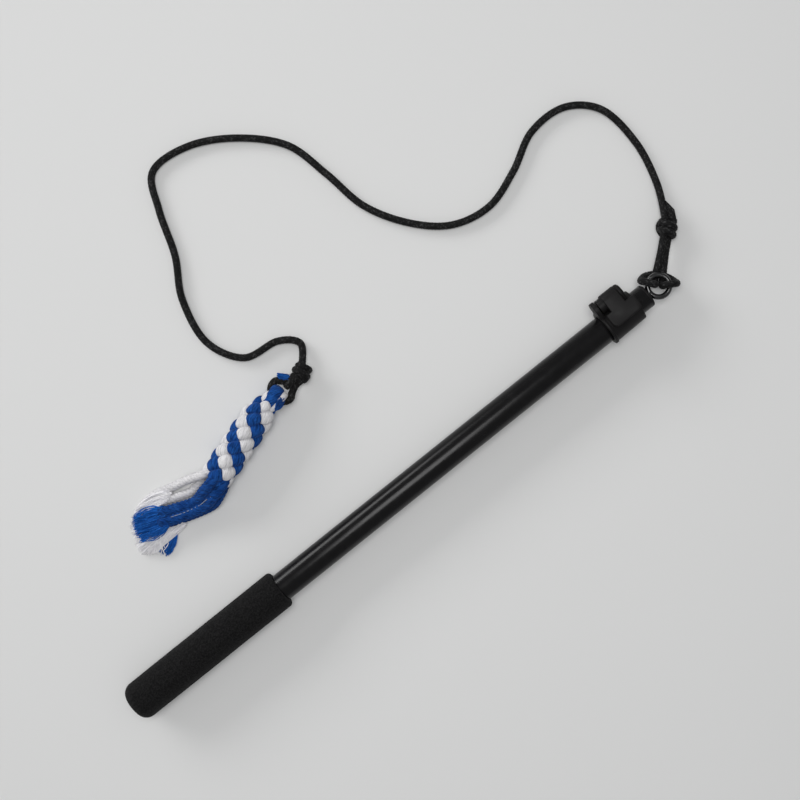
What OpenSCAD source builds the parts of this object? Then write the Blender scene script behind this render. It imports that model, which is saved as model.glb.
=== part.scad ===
// Dog flirt pole: telescoping pole with a flip-lever clamp, a cord hitched to its eye, and a braided rope lure.
// The origin is on the pole's axis at the middle of the foam grip, with +X towards the tip and +Z up.

/* [Grip] */
// Length of the foam grip, closed end included
grip_len = 164; // [130:1:220]
// Outside diameter of the foam
grip_od = 35; // [34:0.5:44]
// Rounding of the butt end
grip_butt_round = 9; // [4:0.5:12]
// Rounding of the front rim
grip_front_round = 3; // [1:0.25:4]
// Foam beyond the end of the tube
grip_end = 8; // [4:0.5:14]

/* [Tubes] */
// Outside diameter of the outer tube
outer_od = 25; // [24.5:0.5:31]
// Length of the outer tube
outer_len = 525; // [440:1:660]
// Outside diameter of the inner tube
inner_od = 22; // [18:0.5:22.5]
// Wall of both tubes
tube_wall = 1; // [0.8:0.1:1.2]
// How far the inner tube pulls out
travel = 300; // [200:5:360]
// Inner tube left in front of the clamp when pushed in
nose_len = 11; // [9:0.5:25]

/* [Plug and bush] */
// Flange of the plug in the butt end
plug_flange = 2; // [1:0.25:4]
// Length of the plug inside the tube
plug_len = 18; // [10:1:30]
// Length of the bush behind the inner tube
bush_head_len = 20; // [12:1:40]
// Length of the bush inside the inner tube
bush_spigot_len = 25; // [12:1:40]
// Wall of the plug and the bush
insert_wall = 2; // [1.5:0.25:3]

/* [Clamp collar] */
// Length of the collar
collar_len = 34; // [30:0.5:42]
// Stretch of the outer tube that the collar holds
collar_lap = 10; // [8:0.5:12]
// Wall of the collar over the outer tube
collar_wall = 2.9; // [2.2:0.1:4]
// How much the collar's radius drops towards the tip
collar_taper = 0.7; // [0:0.1:1]
// Width of the rim at the collar's rear end
rim_w = 2.5; // [1.5:0.25:3.5]
// Height of the rim
rim_h = 1; // [0.5:0.1:1.5]
// Thickness of each lug
lug_w = 4; // [3:0.25:5]
// Radius of a lug round the pin
lug_r = 7.8; // [6:0.1:8.2]
// Collar left in front of the front lug
lug_setback = 4; // [2:0.25:5]
// Rounding of the front lug's outer corner
lug_corner = 3; // [1:0.25:3.5]
// Diameter of the rivet under the collar
collar_rivet_d = 3.2; // [2:0.1:4]

/* [Clamp lever] */
// Diameter of the lever's pin
pin_d = 3.5; // [2.5:0.1:4.5]
// Radius of the lever's hub
hub_r = 8.2; // [7:0.1:9]
// How far the hub's neck beside the rear lug is stepped clear of the outer tube
neck_step = 1.25; // [0.5:0.05:2]
// How far the cam stands out from the hub
cam_lift = 1.2; // [0.5:0.1:1.8]
// Thickness of the lever's plate
plate_t = 3; // [2:0.25:4]
// How far the plate reaches past the pole's axis
plate_over = 3; // [0:0.5:6]
// Length of the plate along the pole
plate_len = 30; // [24:0.5:31]
// Radius of the finger lip on the plate's free edge
lip_r = 1.9; // [1.6:0.1:2.4]
// Rounding of the plate's free corners
plate_corner = 5; // [2:0.25:7]

/* [Tip] */
// Head of the cap beyond the inner tube
cap_head = 2.5; // [2.25:0.25:5]
// Length of the cap inside the inner tube
cap_spigot_len = 22; // [18:1:30]
// Thickness of the cap's end wall, head included
cap_end_wall = 8; // [5:0.5:9]
// Wall of the cap inside the inner tube
cap_wall = 3; // [2:0.25:3.5]
// Rounding of the cap's rim
cap_round = 2; // [1:0.25:2]
// Hole of the eye
eye_hole = 14.5; // [14:0.25:18]
// Thickness of the eye's ring
eye_wire = 4.8; // [3.5:0.1:5.5]
// Diameter of the eye's shank
shank_d = 5; // [4:0.25:6]
// Width of the nut across its flats
nut_af = 8; // [7:0.25:10]
// Thickness of the nut
nut_t = 4; // [3:0.25:5]
// Thickness of the washer under the nut
washer_t = 1; // [0.5:0.1:1.5]
// Shank left beyond the nut
shank_end = 1.5; // [0.5:0.25:3]
// Diameter of the rivet that pins the cap
tip_rivet_d = 3.2; // [2:0.1:4]
// Diameter of that rivet's head
tip_rivet_head_d = 5; // [4:0.1:6]
// Height of that rivet's head over the tube
tip_rivet_head_h = 0.9; // [0.5:0.1:1.2]

/* [Cord] */
// Diameter of the braided cord
cord_d = 6.5; // [5.5:0.1:6.6]
// Diameter of a knot
knot_d = 18; // [16:0.5:22]
// Length of a knot
knot_len = 20; // [16:0.5:24]
// Length of the cut tail beyond its knot
tail_len = 13; // [6:0.5:30]

/* [Lure] */
// Diameter of the braid
braid_d = 30; // [25:0.5:36]
// Length of the braid
braid_len = 80; // [60:1:90]
// Diameter of a loose strand
strand_d = 7.4; // [6:0.1:7.6]
// Diameter of a strand where it folds over the cord
fold_d = 6.4; // [5:0.1:6.6]

/* [Hidden] */
$fn = 96;

// Clearances: pieces that are pressed or glued together, that slide or turn, and that only pass each other
fit_gap = 0.02;
run_gap = 0.06;
pass_gap = 0.3;
// Gap between the closed cam and the inner tube
cam_gap = 0.25;
// Gap between the lever's plate and the collar
plate_gap = 0.5;
// Gap between the cord loop and a strand folded over it
fold_gap = 1.6;
// Amount by which a cutter overshoots the face it cuts
cut = 1;

// Radii that other pieces share
grip_r = grip_od / 2;
outer_r = outer_od / 2;
outer_bore_r = outer_r - tube_wall;
inner_r = inner_od / 2;
inner_bore_r = inner_r - tube_wall;
collar_bore_r = outer_r + fit_gap;
collar_guide_r = inner_r + run_gap;
collar_r = collar_bore_r + collar_wall;
collar_tip_r = collar_r - collar_taper;
cord_r = cord_d / 2;
strand_r = strand_d / 2;
fold_r = fold_d / 2;
knot_r = knot_d / 2;

// Places along the pole's axis
butt_x = -grip_len / 2;
plug_x = butt_x + grip_end;
outer_x = plug_x + plug_flange;
mouth_x = outer_x + outer_len;
collar_x = mouth_x - collar_lap;
collar_end_x = collar_x + collar_len;
collar_rivet_x = collar_x + rim_w + collar_rivet_d;
rear_lug_x = collar_x;
front_lug_x = collar_end_x - lug_setback - lug_w;
hub_x = mouth_x + pass_gap * 2;
hub_end_x = front_lug_x - pass_gap;
plate_end_x = collar_end_x + pass_gap * 3;
plate_x = plate_end_x - plate_len;
inner_end_x = collar_end_x + nose_len;
stop_x = mouth_x - pass_gap - travel;
cap_end_x = inner_end_x + cap_head;
tip_rivet_x = collar_end_x + tip_rivet_head_d / 2 + pass_gap;

// The pin sits where the closed cam just clears the inner tube and the plate just clears the collar
cam_reach = hub_r + cam_lift;
pin_dist = inner_r + cam_gap + cam_reach;
neck_r = pin_dist - outer_r - neck_step;
plate_z = collar_r + plate_gap;
pin_z = plate_z + plate_t - hub_r;
pin_y = sqrt(pin_dist * pin_dist - pin_z * pin_z);
pin_angle = atan2(pin_z, pin_y);

// The eye, and the surface that everything lies on
eye_ring_r = (eye_hole + eye_wire) / 2;
eye_x = cap_end_x + pass_gap / 2 + eye_ring_r + eye_wire / 2;
floor_z = -grip_r;
washer_x = cap_end_x - cap_end_wall;
nut_x = washer_x - washer_t;
shank_x = nut_x - nut_t - shank_end;

// Direction from the eye to the knot above it, and the knot's distance
leg_angle = 41;
knot_dist = 51.5;
top_knot_at = knot_dist * [cos(leg_angle), sin(leg_angle)];
// Side offset of the two cords that leave a knot
pair_gap = 0.5;
pair_y = cord_r + pair_gap / 2;
// How far a cord runs into a knot
knot_bite = 2;
// Turn of the cut tail towards the run beside it
tail_turn = 18;

// One half of the hitch: out along the leg direction, to its left, and up, all from the ring's centre
hitch_leg = [
    [43.5, 3.5, -8.5], [20, 3.5, -7.3], [9, 3.5, -6.4], [4.6, 3.5, -5.6], [1.6, 3.5, -3], [0.5, 3.5, 1.2]
];
hitch_ear = [
    [0.8, 5.4, 5.2], [1.6, 9.4, 6.6], [2.4, 13.4, 4.9], [3.2, 15.7, 0.6], [5, 14.6, -4.4], [8, 11.6, -10.4],
    [10.4, 6.4, -13.7]
];
hitch_bar = [11.2, 0, -13.8];
// Turn of the ears and the bar about the ring's centre, against the legs
ear_turn = 7;

// Centreline of the long run: along X and Y from the ring's centre, and height above the floor
run_route = [
    [43, 42, 9], [58, 71, 3.6], [66, 110, 3.3], [61, 151, 3.3], [36, 174, 3.3], [0, 175, 3.3], [-34, 158, 3.3],
    [-70, 147, 3.3], [-106, 155, 3.3], [-135, 181, 3.3], [-156, 217, 3.3], [-164, 259, 3.3], [-175, 300, 3.3],
    [-206, 333, 3.3], [-244, 354, 3.3], [-282, 356, 3.3], [-299, 326, 3.3], [-313, 286, 3.3], [-332, 252, 3.3],
    [-339, 210, 3.3], [-322, 178, 3.3], [-290, 171, 3.3], [-275, 157, 4.5], [-285, 141, 8]
];

// The knot above the lure, and the loop that the lure hangs on
toy_knot_at = [-290, 136];
toy_knot_angle = 215;
// The knot's cut end lies over the loop's two arms: start height, direction, rise and reach from the knot's middle
knot_end_h = 11.5;
knot_end_angle = 186;
knot_end_rise = 15;
knot_end_len = 17.5;
loop_centre = [-312, 134];
loop_bend_r = 10.5;
loop_h = 13;
loop_arm = [[-291, 3.6, 9], [-300, 3.75, 10.8], [-306.5, 6.6, 12.4]];

// The braid starts behind the loop and runs back along the pole
toy_angle = 197;
braid_at = [-330, 133.5];
braid_top_r = 9;
braid_taper_len = 12;
braid_end_drop = 2;

// Loose strands: distance beyond the braid, side offset towards the pole, height of the strand's centre
tail_routes = [
    [[2.5, -10.5, 19], [9, -15.5, 15], [18, -21.5, 8.5], [31, -29.5, 4.2], [46, -42, 3.8], [57, -51.5, 4.2]],
    [[2, -9.5, 10], [14, -10.5, 5.5], [24, -13, 3.8], [42, -26.5, 3.8], [52, -36, 3.9], [61.5, -44, 4.3]],
    [[0.4, 5, 4.6], [14, 4.5, 3.8], [28.8, -2, 3.8], [45.3, -14.2, 3.8], [55.4, -22.2, 3.9], [75, -34.5, 4.3]],
    [[2, -0.5, 26], [14, -2.8, 20.5], [27.3, -4.5, 12], [43.4, -16.4, 11.5], [53.6, -24.4, 11.4], [70, -40.5, 11.4]],
    [[1, 9, 21], [14, 8.5, 19.8], [25, 6.4, 14.2], [40, -2.8, 11.8], [59.1, -17, 11.8], [81, -26, 13.2]],
    [[1.2, 10.5, 13], [14, 12, 11], [24, 10, 5], [41.8, -1.3, 3.8], [60.5, -15.5, 3.9], [82, -27, 4.3]]
];
tail_flare = [1, 1, 1, 1, 1.05, 1.15];

// Unit vector, and the direction of a path at one of its points
function unit(v) = v / norm(v);
function heading(path, i) = unit(path[min(i + 1, len(path) - 1)] - path[max(i - 1, 0)]);

// A side vector carried along a path without twist
function carried(path, i, side) = i == len(path) ? [] :
    let (t = heading(path, i), s = unit(side - (side * t) * t))
    concat([s], carried(path, i + 1, s));

// Point on a smooth curve through four points
function between(a, b, c, d, t) = 0.5 * (2 * b + (c - a) * t + (2 * a - 5 * b + 4 * c - d) * t * t
    + (3 * b - a - 3 * c + d) * t * t * t);

// The path with a smooth midpoint in each of its stretches
function with_midpoints(path) = let (n = len(path) - 1) concat(
    [for (i = [0 : n - 1], half = [0, 1]) half == 0 ? path[i] :
        between(path[max(i - 1, 0)], path[i], path[i + 1], path[min(i + 2, n)], 0.5)],
    [path[n]]);

// Round tube swept along a path, with one radius for each point
module swept(path, radii, sides = 10) {
    n = len(path);
    frame = carried(path, 0, cross(heading(path, 0), [0, 0, 1]));
    points = [for (i = [0 : n - 1]) let (t = heading(path, i), s = frame[i], b = cross(t, s))
        for (k = [0 : sides - 1]) path[i] + radii[i] * (cos(360 * k / sides) * s + sin(360 * k / sides) * b)];
    skin = [for (i = [0 : n - 2], k = [0 : sides - 1])
        let (a = i * sides + k, b = i * sides + (k + 1) % sides)
        each [[a, a + sides, b], [b, a + sides, b + sides]]];
    first_end = [for (k = [1 : sides - 2]) [0, k, k + 1]];
    last = (n - 1) * sides;
    last_end = [for (k = [1 : sides - 2]) [last, last + k + 1, last + k]];
    polyhedron(points = points, faces = concat(skin, first_end, last_end));
}

module cord_along(path) {
    swept(path, [for (p = path) cord_r]);
}

// Solid bar along the pole between two places
module bar(x0, x1, r) {
    translate([x0, 0, 0]) rotate([0, 90, 0]) cylinder(r = r, h = x1 - x0);
}

// Outline drawn as [along the pole, radius], turned round the pole's axis
module lathe() {
    rotate([0, 90, 0]) rotate_extrude() rotate(90) mirror([0, 1]) children();
}

// Outline drawn across the pole as [Y, Z], carried along it from x0 to x1
module across(x0, x1) {
    translate([x0, 0, 0]) rotate([90, 0, 90]) linear_extrude(x1 - x0) children();
}

// Places children at the eye, so that cord and lure follow it
module at_eye() {
    translate([eye_x, 0, 0]) children();
}

module foam_grip() color("#1a1a1b") {
    straight_x = butt_x + grip_butt_round;
    front_x = butt_x + grip_len;
    difference() {
        lathe() {
            translate([straight_x, 0]) square([grip_len - grip_butt_round - grip_front_round, grip_r]);
            translate([butt_x, 0]) square([grip_butt_round, grip_r - grip_butt_round]);
            intersection() {
                translate([straight_x, grip_r - grip_butt_round]) circle(grip_butt_round);
                translate([butt_x, 0]) square([grip_butt_round, grip_r]);
            }
            translate([front_x - grip_front_round, 0]) square([grip_front_round, grip_r - grip_front_round]);
            intersection() {
                translate([front_x - grip_front_round, grip_r - grip_front_round]) circle(grip_front_round);
                translate([front_x - grip_front_round, 0]) square([grip_front_round, grip_r]);
            }
        }
        bar(plug_x - fit_gap, front_x + cut, outer_r + fit_gap);
    }
}

module butt_plug() color("#26262a") {
    difference() {
        union() {
            bar(plug_x, outer_x - fit_gap, outer_r);
            bar(plug_x, outer_x + plug_len, outer_bore_r - fit_gap);
        }
        bar(outer_x, outer_x + plug_len + cut, outer_bore_r - insert_wall);
    }
}

module outer_tube() color("#2a2a2d") {
    difference() {
        bar(outer_x, mouth_x, outer_r);
        bar(outer_x - cut, mouth_x + cut, outer_bore_r);
        collar_rivet_hole();
    }
}

module collar_rivet_hole() {
    translate([collar_rivet_x, 0, -collar_r - rim_h]) cylinder(d = collar_rivet_d + 2 * fit_gap, h = collar_r);
}

module collar_rivet() color("#3a3a3d") {
    intersection() {
        translate([collar_rivet_x, 0, -collar_r]) cylinder(d = collar_rivet_d, h = collar_wall + tube_wall + cut);
        difference() {
            bar(collar_x, mouth_x, collar_r - pass_gap);
            bar(collar_x - cut, mouth_x + cut, outer_bore_r + fit_gap);
        }
    }
}

// A lug: a round eye on the pin, carried down to the collar
module lug_outline() {
    translate([pin_y, pin_z]) circle(lug_r);
    rotate(pin_angle) translate([0, -lug_r]) square([pin_dist, 2 * lug_r]);
}

// Outline of the two lugs seen from above, with the front one's outer corner rounded
module boss_plan() {
    end_x = front_lug_x + lug_w;
    far_y = pin_y + lug_r;
    translate([rear_lug_x, 0]) square([end_x - rear_lug_x, far_y - lug_corner]);
    translate([rear_lug_x, 0]) square([end_x - lug_corner - rear_lug_x, far_y]);
    translate([end_x - lug_corner, far_y - lug_corner]) circle(lug_corner);
}

module clamp_collar() color("#202022") {
    difference() {
        union() {
            lathe() polygon([[collar_x, 0], [collar_x, collar_r + rim_h], [collar_x + rim_w, collar_r + rim_h],
                [collar_x + rim_w, collar_r], [collar_end_x, collar_tip_r], [collar_end_x, 0]]);
            across(rear_lug_x, rear_lug_x + lug_w) lug_outline();
            intersection() {
                across(front_lug_x, front_lug_x + lug_w) lug_outline();
                linear_extrude(grip_od) boss_plan();
            }
        }
        bar(collar_x - cut, mouth_x + fit_gap, collar_bore_r);
        bar(mouth_x - cut, collar_end_x + cut, collar_guide_r);
        along_pin(rear_lug_x - cut, collar_end_x + cut, pin_d / 2 + fit_gap);
        along_pin(hub_x - pass_gap, hub_end_x + pass_gap, cam_reach + pass_gap);
        along_pin(rear_lug_x + lug_w, hub_x, neck_r + pass_gap);
        collar_rivet_hole();
    }
}

// Solid bar on the pin's axis
module along_pin(x0, x1, r) {
    translate([0, pin_y, pin_z]) bar(x0, x1, r);
}

module lever_pin() color("#4a4a4d") {
    along_pin(rear_lug_x + pass_gap, front_lug_x + lug_w - pass_gap, pin_d / 2);
}

// The lever's plate across the pole, from one side offset to another
module plate_outline(y_far, y_near) {
    translate([y_far, plate_z]) square([y_near - y_far, plate_t]);
    translate([-plate_over, plate_z + plate_t - lip_r]) circle(lip_r);
}

// Outline seen from above, with its two corners on the far side rounded
module plate_plan() {
    far_y = -plate_over - lip_r;
    near_y = pin_y + cam_reach;
    translate([plate_x, far_y + plate_corner]) square([plate_len, near_y - far_y - plate_corner]);
    translate([plate_x + plate_corner, far_y]) square([plate_len - 2 * plate_corner, near_y - far_y]);
    translate([plate_x + plate_corner, far_y + plate_corner]) circle(plate_corner);
    translate([plate_end_x - plate_corner, far_y + plate_corner]) circle(plate_corner);
}

module clamp_lever() color("#1d1d1f") {
    wing_y = pin_y - lug_r - plate_gap * 2;
    difference() {
        intersection() {
            union() {
                across(hub_x, hub_end_x) {
                    translate([pin_y, pin_z]) circle(hub_r);
                    translate([pin_y, pin_z]) rotate(pin_angle + 180) translate([cam_lift, 0]) circle(hub_r);
                    plate_outline(-plate_over, pin_y);
                }
                across(plate_x, plate_end_x) plate_outline(-plate_over, wing_y);
                along_pin(plate_x, hub_x + cut, neck_r);
            }
            translate([0, 0, -grip_r]) linear_extrude(2 * grip_od) plate_plan();
        }
        along_pin(plate_x - cut, hub_end_x + cut, pin_d / 2 + run_gap);
    }
}

module rear_bush() color("#d8d8d2") {
    difference() {
        union() {
            bar(stop_x - bush_head_len, stop_x, outer_bore_r - run_gap);
            bar(stop_x - fit_gap, stop_x + bush_spigot_len, inner_bore_r - fit_gap);
        }
        bar(stop_x - bush_head_len - cut, stop_x + bush_spigot_len + cut, inner_bore_r - insert_wall);
    }
}

module inner_tube() color("#2a2a2d") {
    difference() {
        bar(stop_x + fit_gap, inner_end_x, inner_r);
        bar(stop_x - cut, inner_end_x + cut, inner_bore_r);
        tip_rivet_hole();
    }
}

module tip_rivet_hole() {
    translate([tip_rivet_x, 0, 0]) cylinder(d = tip_rivet_d + 2 * fit_gap, h = inner_r + cut);
}

module tip_cap() color("#202022") {
    hollow_r = inner_bore_r - cap_wall;
    difference() {
        union() {
            bar(inner_end_x - cap_spigot_len, inner_end_x + fit_gap, inner_bore_r - fit_gap);
            lathe() {
                translate([inner_end_x + fit_gap, 0]) square([cap_head - cap_round - fit_gap, inner_r]);
                translate([inner_end_x + fit_gap, 0]) square([cap_head - fit_gap, inner_r - cap_round]);
                translate([cap_end_x - cap_round, inner_r - cap_round]) intersection() {
                    circle(cap_round);
                    square(cap_round);
                }
            }
        }
        bar(inner_end_x - cap_spigot_len - cut, washer_x, hollow_r);
        bar(washer_x - cut, cap_end_x + cut, shank_d / 2 + fit_gap);
        tip_rivet_hole();
    }
}

module tip_rivet() color("#3a3a3d") {
    difference() {
        union() {
            translate([tip_rivet_x, 0, inner_bore_r - cap_wall]) cylinder(d = tip_rivet_d, h = cap_wall + tube_wall);
            translate([tip_rivet_x, 0, inner_r - tube_wall]) difference() {
                cylinder(d = tip_rivet_head_d, h = tube_wall + tip_rivet_head_h);
                translate([0, 0, -inner_r + tube_wall]) rotate([0, 90, 0])
                    cylinder(r = inner_r + fit_gap, h = 2 * tip_rivet_head_d, center = true);
            }
        }
        bar(tip_rivet_x - tip_rivet_head_d, tip_rivet_x + tip_rivet_head_d, inner_bore_r - cap_wall + fit_gap);
    }
}

module tip_eye() color("#161617") {
    translate([eye_x, 0, 0]) rotate_extrude() translate([eye_ring_r, 0]) circle(d = eye_wire, $fn = 48);
    bar(shank_x, eye_x - eye_ring_r, shank_d / 2);
}

module eye_washer() color("#9a9a9e") {
    difference() {
        bar(nut_x, washer_x, nut_af / 2 + washer_t);
        bar(nut_x - cut, washer_x + cut, shank_d / 2 + fit_gap);
    }
}

module eye_nut() color("#8a8a8e") {
    difference() {
        translate([nut_x - nut_t, 0, 0]) rotate([0, 90, 0]) cylinder(d = nut_af / cos(30), h = nut_t, $fn = 6);
        bar(nut_x - nut_t - cut, nut_x + cut, shank_d / 2 + fit_gap);
    }
}

// Points on the other side of the X axis, and points turned about the Z axis
function mirrored(points) = [for (p = points) [p.x, -p.y, p.z]];
function turned(points, a) = [for (p = points) [p.x * cos(a) - p.y * sin(a), p.x * sin(a) + p.y * cos(a), p.z]];

module hitch_loop() color("#151516") {
    left = concat(hitch_leg, turned(hitch_ear, ear_turn));
    right = concat(mirrored(hitch_leg), turned(mirrored(hitch_ear), ear_turn));
    n = len(right);
    path = concat(left, turned([hitch_bar], ear_turn), [for (i = [n - 1 : -1 : 0]) right[i]]);
    at_eye() rotate(leg_angle) cord_along(path);
}

// Knot lying on the floor: a core with three wound lobes
module knot(place, angle) {
    lobe_r = knot_len / 6;
    at_eye() translate([place.x, place.y, floor_z + knot_r]) rotate([0, 90, angle]) {
        cylinder(r = knot_r - lobe_r, h = knot_len - lobe_r, center = true);
        for (i = [-1, 0, 1]) translate([0, 0, 2 * lobe_r * i])
            rotate_extrude() translate([knot_r - lobe_r, 0]) circle(lobe_r, $fn = 32);
    }
}

module top_knot() color("#151516") {
    knot(top_knot_at, leg_angle);
}

module cord_tail() color("#151516") {
    at_eye() rotate(leg_angle) translate([knot_dist + knot_len / 2 - knot_bite, -pair_y, floor_z + knot_r])
        rotate([0, 90, tail_turn]) cylinder(d = cord_d, h = tail_len + knot_bite);
}

module cord_run() color("#151516") {
    path = [for (p = run_route) [p.x, p.y, floor_z + p.z]];
    at_eye() cord_along(with_midpoints(path));
}

module toy_knot() color("#151516") {
    knot(toy_knot_at, toy_knot_angle);
    at_eye() translate([toy_knot_at.x, toy_knot_at.y, floor_z + knot_end_h])
        rotate([0, 90 - knot_end_rise, knot_end_angle]) cylinder(d = cord_d, h = knot_end_len);
}

module toy_loop() color("#151516") {
    turns = [for (a = [90 : 36 : 270]) [loop_centre.x + loop_bend_r * cos(a), loop_bend_r * sin(a), loop_h]];
    n = len(loop_arm);
    path = concat(loop_arm, turns, [for (i = [n - 1 : -1 : 0]) [loop_arm[i].x, -loop_arm[i].y, loop_arm[i].z]]);
    at_eye() cord_along([for (p = path) [p.x, loop_centre.y + p.y, floor_z + p.z]]);
}

// A strand folded over the far side of the loop, with its two ends running into the braid
module fold(side) {
    fold_y = side * (fold_r + pass_gap / 2);
    fold_x = loop_centre.x - sqrt(loop_bend_r * loop_bend_r - fold_y * fold_y);
    bend_r = cord_r + fold_r + fold_gap;
    end_len = fold_x - braid_at.x + fold_r / 2;
    at_eye() translate([fold_x, loop_centre.y + fold_y, floor_z + loop_h]) {
        rotate([90, 0, 0]) rotate(-90) rotate_extrude(angle = 180) translate([bend_r, 0]) circle(fold_r, $fn = 32);
        for (up = [-1, 1]) translate([-end_len, 0, up * bend_r]) rotate([0, 90, 0]) cylinder(r = fold_r, h = end_len);
    }
}

module toy_fold_blue() color("#1f4f9e") {
    fold(1);
}

module toy_fold_white() color("#e6e4e4") {
    fold(-1);
}

// Places children at the braid's top on its axis, with +X along the braid
module at_braid() {
    at_eye() translate([braid_at.x, braid_at.y, 0]) rotate(toy_angle) children();
}

module toy_braid() color("#3f69ab") {
    braid_r = braid_d / 2;
    at_braid() translate([0, 0, floor_z + braid_r]) lathe() polygon([[0, 0], [0, braid_top_r],
        [braid_taper_len, braid_r], [braid_len - braid_taper_len / 2, braid_r],
        [braid_len, braid_r - braid_end_drop], [braid_len, 0]]);
}

// A loose strand that runs out of the braid and flares where it frays
module tail(route) {
    path = [for (p = route) [braid_len + p.x, p.y, floor_z + p.z]];
    at_braid() swept(path, [for (f = tail_flare) f * strand_r], 12);
}

module toy_tail_white_1() color("#e6e4e4") {
    tail(tail_routes[0]);
}

module toy_tail_white_2() color("#e6e4e4") {
    tail(tail_routes[1]);
}

module toy_tail_white_3() color("#e6e4e4") {
    tail(tail_routes[2]);
}

module toy_tail_blue_1() color("#1f4f9e") {
    tail(tail_routes[3]);
}

module toy_tail_blue_2() color("#1f4f9e") {
    tail(tail_routes[4]);
}

module toy_tail_blue_3() color("#1f4f9e") {
    tail(tail_routes[5]);
}

foam_grip();
butt_plug();
outer_tube();
clamp_collar();
collar_rivet();
lever_pin();
clamp_lever();
rear_bush();
inner_tube();
tip_cap();
tip_rivet();
tip_eye();
eye_washer();
eye_nut();
hitch_loop();
top_knot();
cord_tail();
cord_run();
toy_knot();
toy_loop();
toy_fold_blue();
toy_fold_white();
toy_braid();
toy_tail_white_1();
toy_tail_white_2();
toy_tail_white_3();
toy_tail_blue_1();
toy_tail_blue_2();
toy_tail_blue_3();
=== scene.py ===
import math

import bmesh
import bpy
import numpy as np
from mathutils import Matrix, Vector


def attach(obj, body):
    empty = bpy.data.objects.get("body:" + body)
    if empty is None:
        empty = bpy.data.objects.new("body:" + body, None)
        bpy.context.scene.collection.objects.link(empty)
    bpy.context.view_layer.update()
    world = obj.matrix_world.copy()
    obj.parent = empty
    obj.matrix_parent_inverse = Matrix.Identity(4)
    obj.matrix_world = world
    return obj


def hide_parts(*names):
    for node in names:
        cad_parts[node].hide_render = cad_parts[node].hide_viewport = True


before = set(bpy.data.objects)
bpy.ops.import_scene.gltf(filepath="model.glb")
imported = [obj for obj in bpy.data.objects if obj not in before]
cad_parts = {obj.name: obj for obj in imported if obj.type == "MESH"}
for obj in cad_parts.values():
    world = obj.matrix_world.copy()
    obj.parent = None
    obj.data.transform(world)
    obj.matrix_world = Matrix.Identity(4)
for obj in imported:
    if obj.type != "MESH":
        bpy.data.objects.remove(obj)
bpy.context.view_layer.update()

mm = 0.001
tau = 2 * math.pi
floorZ = -17.6 * mm
restZ = floorZ + 0.1 * mm  # height from which the cord's and the lure's points count
eyeCentre = np.array([502.7, 0, 0]) * mm
dice = np.random.default_rng(11)
scene = bpy.context.scene


def placed(name, data):
    thing = bpy.data.objects.new(name, data)
    scene.collection.objects.link(thing)
    return thing


# camera straight above, rolled as the photo was taken
shot = {"aim": (0.265, 0.063), "height": 1.2, "field": 0.696, "roll": -38.66, "sensor": 36}
cameraData = bpy.data.cameras.new("topCamera")
cameraData.sensor_width = shot["sensor"]
cameraData.lens = shot["sensor"] * shot["height"] / shot["field"]
camera = placed("topCamera", cameraData)
camera.location = (*shot["aim"], shot["height"])
camera.rotation_euler = (0, 0, math.radians(shot["roll"]))
scene.camera = camera
scene.view_settings.view_transform = "Standard"


# small tools for node materials
def plug(tree, socket, value):
    if isinstance(value, bpy.types.NodeSocket):
        tree.links.new(value, socket)
    else:
        socket.default_value = value


def feed(tree, kind, sockets=None, **props):
    made = tree.nodes.new(kind)
    for key, value in props.items():
        setattr(made, key, value)
    for key, value in (sockets or {}).items():
        plug(tree, made.inputs[key], value)
    return made


def newLook(name, colour, roughness, fixed):
    material = bpy.data.materials.new(name)
    material.use_nodes = True
    shader = material.node_tree.nodes["Principled BSDF"]
    shader.inputs["Base Color"].default_value = (*colour, 1)
    shader.inputs["Roughness"].default_value = roughness
    for key, value in fixed.items():
        shader.inputs[key].default_value = value
    return material, material.node_tree, shader


def ramp(tree, factor, *stops):
    made = feed(tree, "ShaderNodeValToRGB", {"Fac": factor})
    elements = made.color_ramp.elements
    for element, (place, tone) in zip(elements, stops):
        element.position = place
        element.color = (*tone, 1) if isinstance(tone, tuple) else (tone, tone, tone, 1)
    return made.outputs["Color"]


def mixed(tree, factor, first, second, blend="MIX"):
    made = feed(tree, "ShaderNodeMix", data_type="RGBA", blend_type=blend)
    for place, value in ((0, factor), (6, first), (7, second)):  # the sockets that mix colours
        plug(tree, made.inputs[place], (*value, 1) if isinstance(value, tuple) else value)
    return made.outputs[2]


def objectCoords(tree, stretch=(1, 1, 1)):
    place = feed(tree, "ShaderNodeTexCoord").outputs["Object"]
    return feed(tree, "ShaderNodeMapping", {"Vector": place, "Scale": stretch}).outputs["Vector"]


def noise(tree, scale, detail, rough=0.5, place=None):
    place = objectCoords(tree) if place is None else place
    return feed(tree, "ShaderNodeTexNoise", {"Vector": place, "Scale": scale, "Detail": detail,
                                             "Roughness": rough}).outputs["Fac"]


def attribute(tree, name):
    return feed(tree, "ShaderNodeAttribute", attribute_name=name).outputs["Fac"]


def wire(shader, socket, value):
    shader.id_data.links.new(value, shader.inputs[socket])


def bumped(shader, height, strength, distance):
    sockets = {"Height": height, "Strength": strength, "Distance": distance}
    bump = feed(shader.id_data, "ShaderNodeBump", sockets)
    wire(shader, "Normal", bump.outputs["Normal"])


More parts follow.
